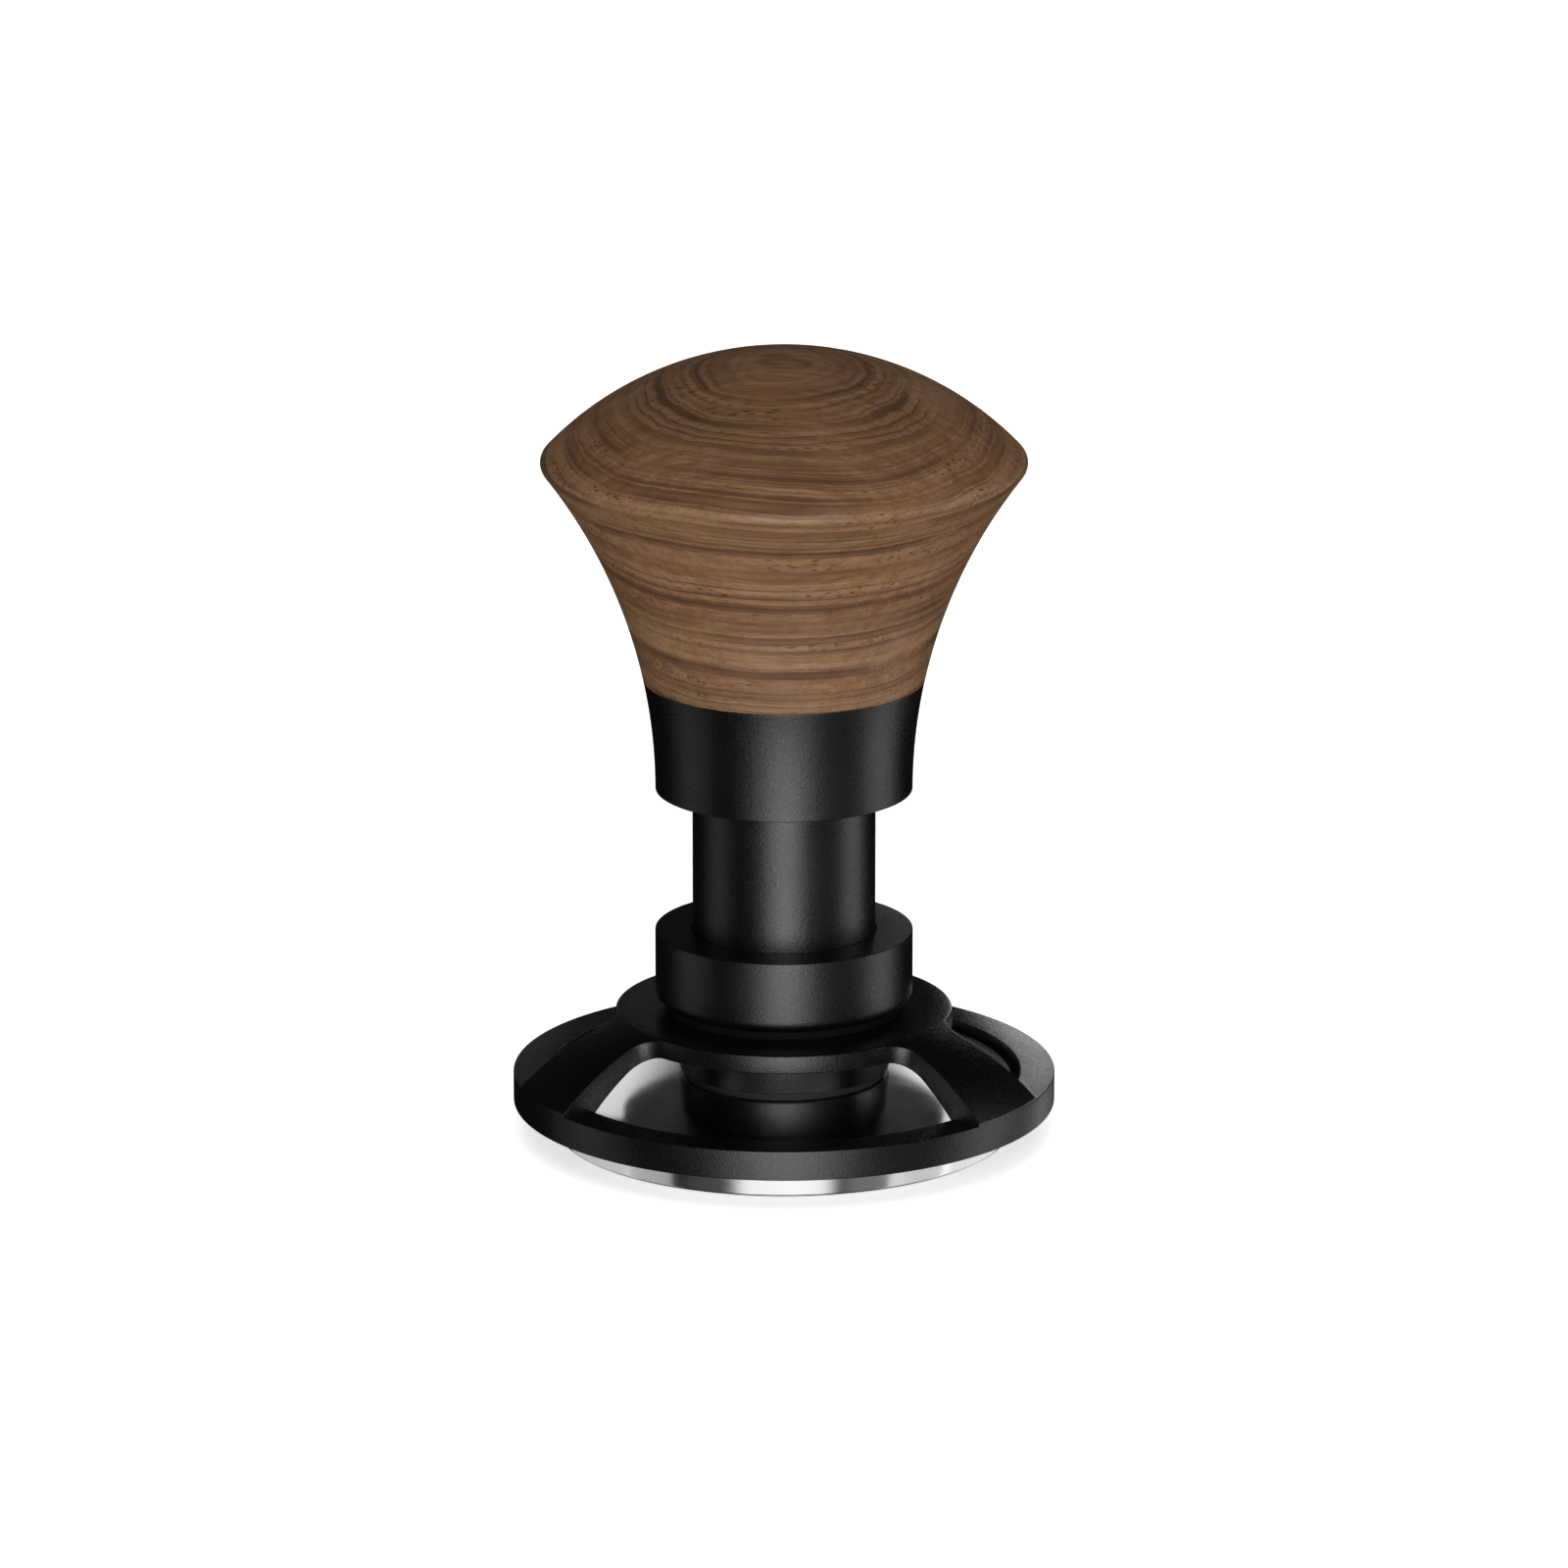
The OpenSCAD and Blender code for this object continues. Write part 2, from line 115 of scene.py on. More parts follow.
def rounded(points, edge, steps=ARC_STEPS):
    """The closed outline with each corner that has an edge radius rounded by a fillet.

    points is [(r, z), ...] and edge is one radius, or one for each corner, 0 for a sharp one."""
    edges = edge if isinstance(edge, list) else [edge] * len(points)
    out = []
    for i, p in enumerate(points):
        here = Vector(p)
        back = Vector(points[i - 1]) - here
        on = Vector(points[(i + 1) % len(points)]) - here
        turn = back.angle(on)
        if edges[i] <= 0 or turn > math.radians(176):
            out.append(tuple(here))
            continue
        reach = min(edges[i] / math.tan(turn / 2), 0.45 * back.length, 0.45 * on.length)
        start, end = here + back.normalized() * reach, here + on.normalized() * reach
        for k in range(steps + 1):
            t = k / steps
            out.append(tuple(start * (1 - t) ** 2 + here * 2 * t * (1 - t) + end * t ** 2))
    return out


def new_object(name, bm):
    bmesh.ops.remove_doubles(bm, verts=bm.verts, dist=1e-7)
    bmesh.ops.recalc_face_normals(bm, faces=bm.faces)
    mesh = bpy.data.meshes.new(name)
    bm.to_mesh(mesh)
    bm.free()
    piece = bpy.data.objects.new(name, mesh)
    bpy.context.scene.collection.objects.link(piece)
    return piece


def smooth(piece, angle=30):
    """Smooth shading, with the corners sharper than the angle kept sharp."""
    mesh = piece.data
    mesh.polygons.foreach_set("use_smooth", [True] * len(mesh.polygons))
    mesh.set_sharp_from_angle(angle=math.radians(angle))


def lathe(name, outline, steps=TURN_STEPS):
    """A closed (r, z) outline turned about the vertical axis."""
    bm = bmesh.new()
    rings = []
    for r, z in outline:
        if r < 1e-7:
            rings.append([bm.verts.new((0, 0, z))])
            continue
        turns = [2 * math.pi * k / steps for k in range(steps)]
        rings.append([bm.verts.new((r * math.cos(a), r * math.sin(a), z)) for a in turns])
    for i, ring in enumerate(rings):
        other = rings[(i + 1) % len(rings)]
        if len(ring) == 1 and len(other) == 1:
            continue
        for k in range(steps):
            j = (k + 1) % steps
            corners = [ring[k % len(ring)], ring[j % len(ring)], other[j % len(other)], other[k % len(other)]]
            bm.faces.new(list(dict.fromkeys(corners)))
    piece = new_object(name, bm)
    smooth(piece)
    return piece


def stands_for(piece, node, material):
    """piece takes the place of the CAD node, on that node's body and in its material slot."""
    body = next(b for b, members in BODIES.items() if node in members)
    piece.data.materials.clear()
    piece.data.materials.append(material)
    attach(piece, body)
    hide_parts(node)
    return piece


def smooth_step_quarter(steps):
    """(sine, cosine) pairs along a quarter turn, for the profile of a rounded edge."""
    return [(math.sin(math.pi / 2 * k / steps), math.cos(math.pi / 2 * k / steps)) for k in range(steps + 1)]


def meeting(c1, r1, c2, r2):
    """The upper one of the two points where two circles in the (r, z) plane cross."""
    c1, c2 = Vector(c1), Vector(c2)
    d = c2 - c1
    along = (r1 * r1 - r2 * r2 + d.length_squared) / (2 * d.length)
    off = math.sqrt(r1 * r1 - along * along)
    u = d.normalized()
    return c1 + along * u + off * Vector((-u.y, u.x))


def bulging(p, q, r):
    """Centre of the arc of radius r from p to q that bulges up and outwards."""
    p, q = Vector(p), Vector(q)
    d = q - p
    side = Vector((d.y, -d.x)).normalized()
    return (p + q) / 2 + side * math.sqrt(r * r - d.length_squared / 4)


# ---------------------------------------------------------------- the turned pieces that show

def make_knob(material):
    """The walnut knob: flare, rolled edge and dome outside, seat for the insert and bolt chamber inside."""
    low = bottom("knob")
    insert_r, flange_r = 13.4 * MM, 16.4 * MM
    flange_top, web_top = low + 2 * MM, top("knob_insert")
    chamber_r, chamber_top = 8.5 * MM, 93.4 * MM
    flare_c = (COLLAR_FOOT_R + FLARE_R, bottom("handle_collar"))
    dome_c = (0, KNOB_TOP - DOME_R)
    edge_c = meeting(dome_c, DOME_R - KNOB_EDGE_R, flare_c, FLARE_R + KNOB_EDGE_R)
    to_flare = math.degrees(math.atan2(flare_c[1] - edge_c[1], flare_c[0] - edge_c[0]))
    to_dome = math.degrees(math.atan2(edge_c[1] - dome_c[1], edge_c[0]))
    first = 180 - math.degrees(math.asin((low - flare_c[1]) / FLARE_R))
    outline = arc(flare_c, FLARE_R, first, 180 + to_flare, 96)
    outline += arc(edge_c, KNOB_EDGE_R, to_flare, to_dome, 20)[1:]
    outline += arc(dome_c, DOME_R, to_dome, 90, 90)[1:-1] + [(0, KNOB_TOP)]
    inside = [(0, chamber_top), (chamber_r, chamber_top), (chamber_r, web_top), (insert_r, web_top),
              (insert_r, flange_top), (flange_r, flange_top), (flange_r, low)]
    foot = outline[0]
    broken, middle = 0.12 * MM, 0.03 * MM
    outline[0:1] = [(foot[0] - broken, low), (foot[0] - middle, low + middle), (foot[0], low + broken)]
    return stands_for(lathe("walnut_knob", outline + inside), "knob", material)


def make_collar(material):
    """The handle's collar: the foot of the flare outside, grooves for the wiper and the bush inside."""
    low, high = bottom("handle_collar"), top("handle_collar")
    centre = (COLLAR_FOOT_R + FLARE_R, low)
    bore_r, seat_r = 12.0 * MM, 13.4 * MM
    wiper, wiper_h, bush = bottom("wiper_seal"), 1.6 * MM, bottom("collar_bush")
    wall = arc(centre, FLARE_R, 180 - math.degrees(math.asin(0.5 * MM / FLARE_R)),
               180 - math.degrees(math.asin((high - low - 0.4 * MM) / FLARE_R)), 40)
    top_r = centre[0] - math.sqrt(FLARE_R ** 2 - (high - low) ** 2)
    points = [(COLLAR_FOOT_R, low)] + wall + [
        (top_r, high), (seat_r, high), (seat_r, bush), (bore_r, bush), (bore_r, wiper + wiper_h),
        (seat_r, wiper + wiper_h), (seat_r, wiper), (bore_r, wiper), (bore_r, low)]
    edges = [SOFT_EDGE] + [0] * len(wall) + [0.1 * MM] + [0] * 7 + [0.3 * MM]
    return stands_for(lathe("handle_collar_turned", rounded(points, edges)), "handle_collar", material)


def make_tube(material):
    low, high = bottom("guide_tube"), top("guide_tube")
    flange_r, bore_r, bush_r, neck_r = radius("guide_tube"), 10.2 * MM, 7.5 * MM, 5.9 * MM
    step, web, lip = DISC_UNDER, low + 6.8 * MM, low + 0.7 * MM
    points = [(neck_r, low), (flange_r, low), (flange_r, step), (TUBE_R, step), (TUBE_R, high),
              (bore_r, high), (bore_r, web), (bush_r, web), (bush_r, lip), (neck_r, lip)]
    edges = [0.1 * MM, SOFT_EDGE, 0, 0, SOFT_EDGE, SOFT_EDGE, 0, 0, 0, 0]
    return stands_for(lathe("guide_tube_turned", rounded(points, edges)), "guide_tube", material)


def make_hub(material):
    low, high = bottom("hub_collar"), top("hub_collar")
    points = [(TUBE_R, low), (HUB_R, low), (HUB_R, high), (TUBE_R, high)]
    edges = [0, 1.7 * MM, SOFT_EDGE, 0.3 * MM]
    return stands_for(lathe("hub_collar_turned", rounded(points, edges, 10)), "hub_collar", material)


def make_base(material):
    rim, high, flat_r = 6.6 * MM, top("base"), 13.8 * MM
    stud_r, stud_z = 4 * MM, 2.6 * MM
    points = [(0, 0), (BASE_R, 0), (BASE_R, rim), (flat_r, high),
              (stud_r, high), (stud_r, stud_z), (0, stud_z)]
    edges = [0, 0.3 * MM, 0.3 * MM, 0, 0.1 * MM, 0, 0]
    return stands_for(lathe("base_turned", rounded(points, edges, 8), 360), "base", material)


def make_ring_piece(name, node, bore, material, edge=0.1 * MM):
    """A washer, bush or seal of plain section with that bore."""
    low, high, r = bottom(node), top(node), radius(node)
    points = [(bore, low), (r, low), (r, high), (bore, high)]
    return stands_for(lathe(name, rounded(points, edge, 3), SMALL_STEPS), node, material)


def make_stem(material):
    """The rod, with its stud in the base and the tapped bore for the preload bolt."""
    rod_r, stud_r, bore_r, bore_end = 5.5 * MM, 3.95 * MM, 2.55 * MM, 19 * MM
    low, shoulder, high = bottom("stem"), top("base"), top("stem")
    points = [(bore_r, bore_end), (bore_r, high), (rod_r, high), (rod_r, shoulder),
              (stud_r, shoulder), (stud_r, low), (0, low), (0, bore_end)]
    edges = [0, 0.1 * MM, 0.25 * MM, 0, 0, 0.3 * MM, 0, 0]
    stands_for(lathe("stem_turned", rounded(points, edges, 4), SMALL_STEPS), "stem", material)


def make_piston(material):
    """The piston on top of the stem, with the groove for its wear ring."""
    low, high, r, bore_r = bottom("piston"), top("piston"), 10.1 * MM, 2.6 * MM
    groove_top = high - 1.6 * MM
    groove_low = groove_top - 1.8 * MM
    points = [(bore_r, low), (r, low), (r, groove_low), (PISTON_GROOVE_R, groove_low),
              (PISTON_GROOVE_R, groove_top), (r, groove_top), (r, high), (bore_r, high)]
    edges = [0.1 * MM, 0.3 * MM, 0, 0, 0, 0, 0.3 * MM, 0.1 * MM]
    stands_for(lathe("piston_turned", rounded(points, edges, 4), SMALL_STEPS), "piston", material)


# ---------------------------------------------------------------- the levelling ring

def make_level_ring(material):
    """The disc, its crowned arms with filleted roots, and the rim, joined into one piece."""
    edge = SOFT_EDGE
    end_r = RING_R - 0.02 * MM
    crown_from = DISC_R - 0.4 * MM
    crown_c = bulging((crown_from, DISC_TOP), (end_r, RIM_TOP + 0.36 * MM), ARM_CROWN_R)
    under_r = ARM_CROWN_R - 3 * MM
    under_c = bulging((DISC_R, DISC_UNDER), (RING_BORE_R, RIM_TOP - 0.8 * MM), under_r)

    def top_z(r):
        return DISC_TOP if r <= crown_from else crown_c.y + math.sqrt(ARM_CROWN_R ** 2 - (r - crown_c.x) ** 2)

    def under_z(r):
        buried = min(r, RING_BORE_R + 0.5 * MM)
        return DISC_UNDER if r <= DISC_R else under_c.y + math.sqrt(under_r ** 2 - (buried - under_c.x) ** 2)

    # One side of the arm along +X: the fillet, then the straight side, as (point, outward normal).
    slope = (ARM_OUT_W - ARM_IN_W) / 2 / (RING_R - DISC_R)
    tilt = math.atan(slope)
    start_y = ARM_IN_W / 2 - slope * DISC_R
    fillet_r = DISC_R + DISC_FILLET_R
    fillet_a = tilt + math.asin((start_y * math.cos(tilt) + DISC_FILLET_R) / fillet_r)
    centre = fillet_r * Vector((math.cos(fillet_a), math.sin(fillet_a)))
    side = []
    from_disc, to_arm, fillet_steps = fillet_a + math.pi, tilt + 3 * math.pi / 2, 18
    for k in range(fillet_steps + 1):
        a = from_disc + (to_arm - from_disc) * k / fillet_steps
        out = Vector((math.cos(a), math.sin(a)))
        side.append((centre + DISC_FILLET_R * out, -out))
    start, along = side[-1][0], Vector((math.cos(tilt), math.sin(tilt)))
    reach = -start.dot(along) + math.sqrt(start.dot(along) ** 2 + end_r ** 2 - start.length_squared)
    normal = Vector((-along.y, along.x))
    arm_steps = 30
    side += [(start + along * reach * k / arm_steps, normal) for k in range(1, arm_steps + 1)]

    quarter = smooth_step_quarter(5)
    columns = 24
    between = 40
    bm = bmesh.new()

    def ring_of(r, z, angles):
        return [bm.verts.new((r * math.cos(a), r * math.sin(a), z)) for a in angles]

    arm_angles = [math.radians(90 + 360 * i / ARM_COUNT) for i in range(ARM_COUNT)]
    half = fillet_a
    angles = []
    for i, a in enumerate(arm_angles):
        angles += [a - half + 2 * half * c / columns for c in range(columns)]
        gap = 2 * math.pi / ARM_COUNT - 2 * half
        angles += [a + half + gap * b / between for b in range(between)]
    span = columns + between

    def band(lower, upper):
        for k in range(len(lower)):
            j = (k + 1) % len(lower)
            bm.faces.new((lower[k], lower[j], upper[j], upper[k]))

    # The disc's top and underside, and its bore
    inner = DISC_R - edge
    top_rings = [ring_of(r, top_z(r), angles) for r in (TUBE_R, crown_from - 3 * MM, crown_from, inner)]
    low_rings = [ring_of(r, DISC_UNDER, angles) for r in (TUBE_R, inner)]
    for rings in (top_rings, low_rings):
        for a, b in zip(rings, rings[1:]):
            band(a, b)
    band(low_rings[0], top_rings[0])

    def strip_points(p, n, place, low, high):
        """The rounded edges and the wall at one point of the outline, from the top to the underside."""
        column = []
        for s, c in quarter:
            q = p - n * edge * (1 - s)
            column.append(place(q, high(q.length) - edge * (1 - c)))
        for c, s in reversed(quarter):
            q = p - n * edge * (1 - c)
            column.append(place(q, low(q.length) + edge * (1 - s)))
        return column

    def placed(turn, mirror):
        def place(q, z):
            v = turn @ Vector((q.x, q.y * mirror))
            return bm.verts.new((v.x, v.y, z))
        return place

    for i, a in enumerate(arm_angles):
        turn = Matrix.Rotation(a, 2)
        base_at = i * span
        tops = [[top_rings[-1][(base_at + c) % len(angles)] for c in range(columns + 1)]]
        lows = [[low_rings[-1][(base_at + c) % len(angles)] for c in range(columns + 1)]]
        for p, n in side[1:]:
            q = p - n * edge
            r, w = q.length, math.atan2(q.y, q.x)
            turned_to = [a - w + 2 * w * c / columns for c in range(columns + 1)]
            tops.append(ring_of(r, top_z(r), turned_to))
            lows.append(ring_of(r, under_z(r), turned_to))
        for rows in (tops, lows):
            for one, two in zip(rows, rows[1:]):
                for c in range(columns):
                    bm.faces.new((one[c], one[c + 1], two[c + 1], two[c]))
        walls = []
        for mirror in (-1, 1):
            place = placed(turn, mirror)
            wall = [strip_points(p, n, place, under_z, top_z) for p, n in side]
            for one, two in zip(wall, wall[1:]):
                for k in range(len(one) - 1):
                    bm.faces.new((one[k], one[k + 1], two[k + 1], two[k]))
            walls.append(wall)
        end_low, end_top = lows[-1], tops[-1]
        for c in range(columns):
            bm.faces.new((end_low[c], end_low[c + 1], end_top[c + 1], end_top[c]))
        bm.faces.new([end_low[0], end_top[0]] + walls[0][-1][1:-1])
        bm.faces.new([end_low[-1], end_top[-1]] + walls[1][-1][1:-1])
    # The disc's edge between two arms
    for i, a in enumerate(arm_angles):
        gap = 2 * math.pi / ARM_COUNT - 2 * half
        edge_columns = []
        for b in range(between + 1):
            at = a + half + gap * b / between
            out = Vector((math.cos(at), math.sin(at)))
            edge_columns.append(strip_points(out * DISC_R, out, placed(Matrix.Rotation(0, 2), 1),
                                             lambda r: DISC_UNDER, top_z))
        for one, two in zip(edge_columns, edge_columns[1:]):
            for k in range(len(one) - 1):
                bm.faces.new((one[k], one[k + 1], two[k + 1], two[k]))
    bmesh.ops.remove_doubles(bm, verts=bm.verts, dist=2e-6)
    spider = new_object("level_ring_spider", bm)

    low = bottom("level_ring")
    points = [(RING_BORE_R, low), (RING_R, low), (RING_R, RIM_TOP), (RING_BORE_R, RIM_TOP)]
    rim = lathe("level_ring_rim", rounded(points, edge, 5))
    join = spider.modifiers.new("union", "BOOLEAN")
    join.operation, join.solver, join.object = "UNION", "EXACT", rim
    graph = bpy.context.evaluated_depsgraph_get()
    whole = bpy.data.meshes.new_from_object(spider.evaluated_get(graph))
    spider.modifiers.clear()
    spider.data = whole
    bpy.data.objects.remove(rim)
    spider.name = "level_ring_milled"
    smooth(spider, 32)
    return stands_for(spider, "level_ring", material)


# ---------------------------------------------------------------- springs

def make_spring(name, node, mean_r, wire, coils, low, high, material):
    """A wire of round section, wound on mean_r from low to high, its end coils closed up."""
    sides, per_coil = 14, 56
    end_pitch = 1.08 * wire
    pitch = (high - low - wire - 2 * end_pitch) / (coils - 2)
    bm = bmesh.new()
    rows = []
    for i in range(per_coil * coils + 1):
        t = i / per_coil
        z = low + wire / 2 + min(t, 1) * end_pitch + max(0, min(t - 1, coils - 2)) * pitch
        z += max(0, t - coils + 1) * end_pitch
        a = 2 * math.pi * t
        row = []
        for j in range(sides):
            b = 2 * math.pi * j / sides
            r = mean_r + wire / 2 * math.cos(b)
            row.append(bm.verts.new((r * math.cos(a), r * math.sin(a), z + wire / 2 * math.sin(b))))
        rows.append(row)
    for one, two in zip(rows, rows[1:]):
        for j in range(sides):
            k = (j + 1) % sides
            bm.faces.new((one[j], one[k], two[k], two[j]))
    bm.faces.new(list(reversed(rows[0])))
    bm.faces.new(rows[-1])
    piece = new_object(name, bm)
    smooth(piece, 40)
    return stands_for(piece, node, material)


# ---------------------------------------------------------------- materials

class Nodes:
    """Short names for the nodes that the materials and the world are made of."""

    def __init__(self, tree):
        self.tree = tree

    def add(self, kind, **settings):
        node = self.tree.nodes.new(kind)
        for key, value in settings.items():
            setattr(node, key, value)
        return node

    def put(self, socket, value):
        if isinstance(value, bpy.types.NodeSocket):
            self.tree.links.new(value, socket)
        else:
            socket.default_value = value

    def math(self, operation, *values, clamp=False):
        node = self.add("ShaderNodeMath", operation=operation, use_clamp=clamp)
        for socket, value in zip(node.inputs, values):
            self.put(socket, value)
        return node.outputs[0]

    def object_xyz(self):
        coords = self.add("ShaderNodeTexCoord").outputs["Object"]
        return coords, self.add_split(coords)

    def add_split(self, vector):
        node = self.add("ShaderNodeSeparateXYZ")
        self.put(node.inputs[0], vector)
        return node.outputs

    def join(self, x, y, z):
        node = self.add("ShaderNodeCombineXYZ")
        for socket, value in zip(node.inputs, (x, y, z)):
            self.put(socket, value)
        return node.outputs[0]

    def noise(self, vector, scale, detail=2.0, roughness=0.5, distortion=0.0, dimensions="3D"):
        node = self.add("ShaderNodeTexNoise", noise_dimensions=dimensions)
        self.put(node.inputs["W" if dimensions == "1D" else "Vector"], vector)
        for key, value in (("Scale", scale), ("Detail", detail), ("Roughness", roughness),
                           ("Distortion", distortion)):
            self.put(node.inputs[key], value)
        return node.outputs[0]

    def remap(self, value, low, high, to_low=0.0, to_high=1.0, smooth_ends=True):
        node = self.add("ShaderNodeMapRange", interpolation_type="SMOOTHSTEP" if smooth_ends else "LINEAR")
        for socket, number in zip(node.inputs, (value, low, high, to_low, to_high)):
            self.put(socket, number)
        return node.outputs[0]

    def mix(self, factor, one, two, blend="MIX"):
        node = self.add("ShaderNodeMix", data_type="RGBA", blend_type=blend)
        self.put(node.inputs["Factor"], factor)
        self.put(node.inputs["A"], one)
        self.put(node.inputs["B"], two)
        return node.outputs["Result"]

    def bump(self, height, strength, distance, normal=None):
        node = self.add("ShaderNodeBump")
        self.put(node.inputs["Height"], height)
        self.put(node.inputs["Strength"], strength)
        self.put(node.inputs["Distance"], distance)
        if normal is not None:
            self.put(node.inputs["Normal"], normal)
        return node.outputs[0]


def new_material(name, **constants):
    made = bpy.data.materials.new(name)
    made.use_nodes = True
    shader = next(n for n in made.node_tree.nodes if n.type == "BSDF_PRINCIPLED")
    for key, value in constants.items():
        shader.inputs[key.replace("_", " ")].default_value = value
    return made, Nodes(made.node_tree), shader


def grey(value, warm=0.0):
    return (value * (1 + warm), value, value * (1 - warm), 1)


def blasted_black(name, shade, rough, grain):
    """Bead-blasted and black anodised aluminium: a fine sparkling grain over a dark, satin skin."""
    made, n, shader = new_material(name, IOR=1.5)
    coords, _ = n.object_xyz()
    fine = n.noise(coords, 5200.0, 2.0, 0.6)
    patch = n.noise(coords, 90.0, 3.0, 0.5)
    n.put(shader.inputs["Base Color"], n.mix(n.remap(fine, 0.3, 0.7), grey(shade * 0.6), grey(shade * 1.5)))
    base = n.remap(patch, 0.3, 0.7, rough - 0.03, rough + 0.03)
    n.put(shader.inputs["Roughness"], n.math("ADD", base, n.remap(fine, 0.2, 0.8, 0.06, -0.06)))
    n.put(shader.inputs["Normal"], n.bump(fine, grain, 0.00007))
    return made


def turned_metal(name, shade, rough, marks, tint=(1.0, 1.0, 1.0), metallic=1.0):
    """Turned or drawn metal: fine marks that run round the axis, and faint smudges."""
    made, n, shader = new_material(name, Metallic=metallic)
    coords, xyz = n.object_xyz()
    r = n.math("SQRT", n.math("ADD", n.math("POWER", xyz[0], 2.0), n.math("POWER", xyz[1], 2.0)))
    lines = n.noise(n.join(r, xyz[2], 0.0), 9000.0, 3.0, 0.7)
    smudge = n.noise(coords, 130.0, 4.0, 0.6)
    low = [shade * 0.93 * c for c in tint] + [1]
    high = [min(1.0, shade * 1.05 * c) for c in tint] + [1]
    n.put(shader.inputs["Base Color"], n.mix(n.remap(smudge, 0.3, 0.7), low, high))
    n.put(shader.inputs["Roughness"], n.math(
        "ADD", n.remap(smudge, 0.35, 0.75, rough, rough * 1.6), n.remap(lines, 0.3, 0.7, 0.0, rough * 0.4)))
    n.put(shader.inputs["Normal"], n.bump(lines, marks, 0.00001))
    return made


def moulded(name, colour, rough, grain, shine=0.5, scale=2600.0):
    """Moulded plastic or rubber: an even colour with a faint grain."""
    made, n, shader = new_material(name, Specular_IOR_Level=shine)
    coords, _ = n.object_xyz()
    fine = n.noise(coords, scale, 3.0, 0.6)
    patch = n.noise(coords, 70.0, 2.0, 0.5)
    n.put(shader.inputs["Base Color"], n.mix(n.remap(patch, 0.3, 0.7), [c * 0.9 for c in colour] + [1],
                                             [min(1.0, c * 1.08) for c in colour] + [1]))
    n.put(shader.inputs["Roughness"], n.remap(fine, 0.2, 0.8, rough - 0.05, rough + 0.06))
    n.put(shader.inputs["Normal"], n.bump(fine, grain, 0.00004))
    return made


